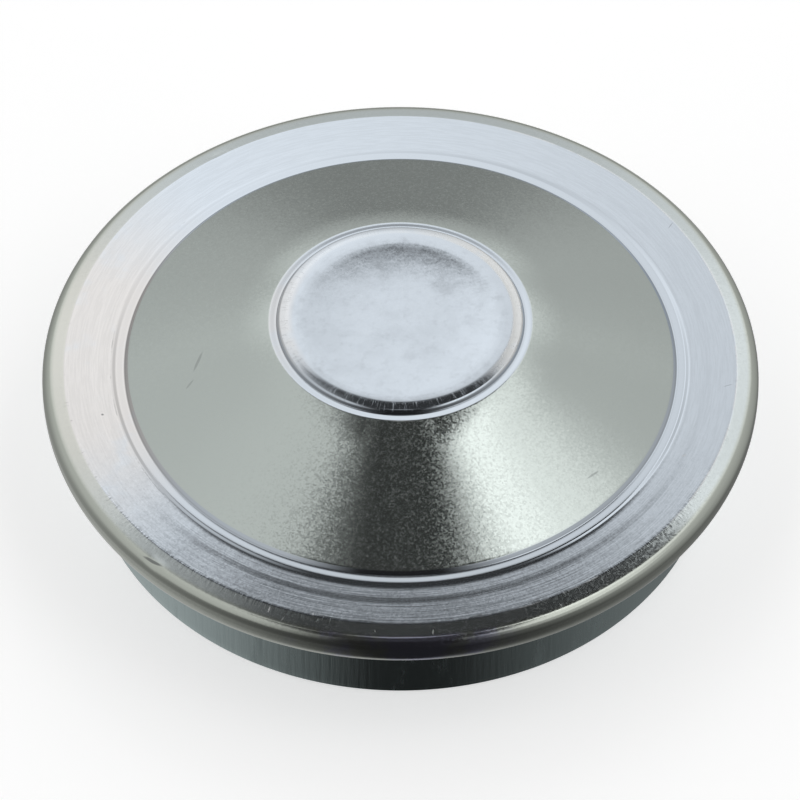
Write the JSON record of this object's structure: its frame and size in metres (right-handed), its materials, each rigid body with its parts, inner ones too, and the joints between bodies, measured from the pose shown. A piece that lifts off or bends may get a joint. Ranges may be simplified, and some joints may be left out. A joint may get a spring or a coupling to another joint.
{
  "type": "hub grease cap",
  "caption": "Pressed steel hub grease cap with a press-fit skirt, a folded flange, a low cone and a dished disc on top, bright zinc plated.",
  "frame": {"origin": "on the cap's axis, in the plane of the skirt's lower edge", "axes": "+Z along the cap's axis, from the open mouth towards the crown; the cap is round, so X and Y have no direction of their own"},
  "size_m": [0.063, 0.063, 0.0183],
  "materials": {
    "zinc_steel": "bright zinc plate with a clear passivated film, satin, with fine sheet grain, round press marks and small handling nicks"
  },
  "bodies": {
    "root": {"grease_cap": "zinc_steel"}
  },
  "joints": []
}
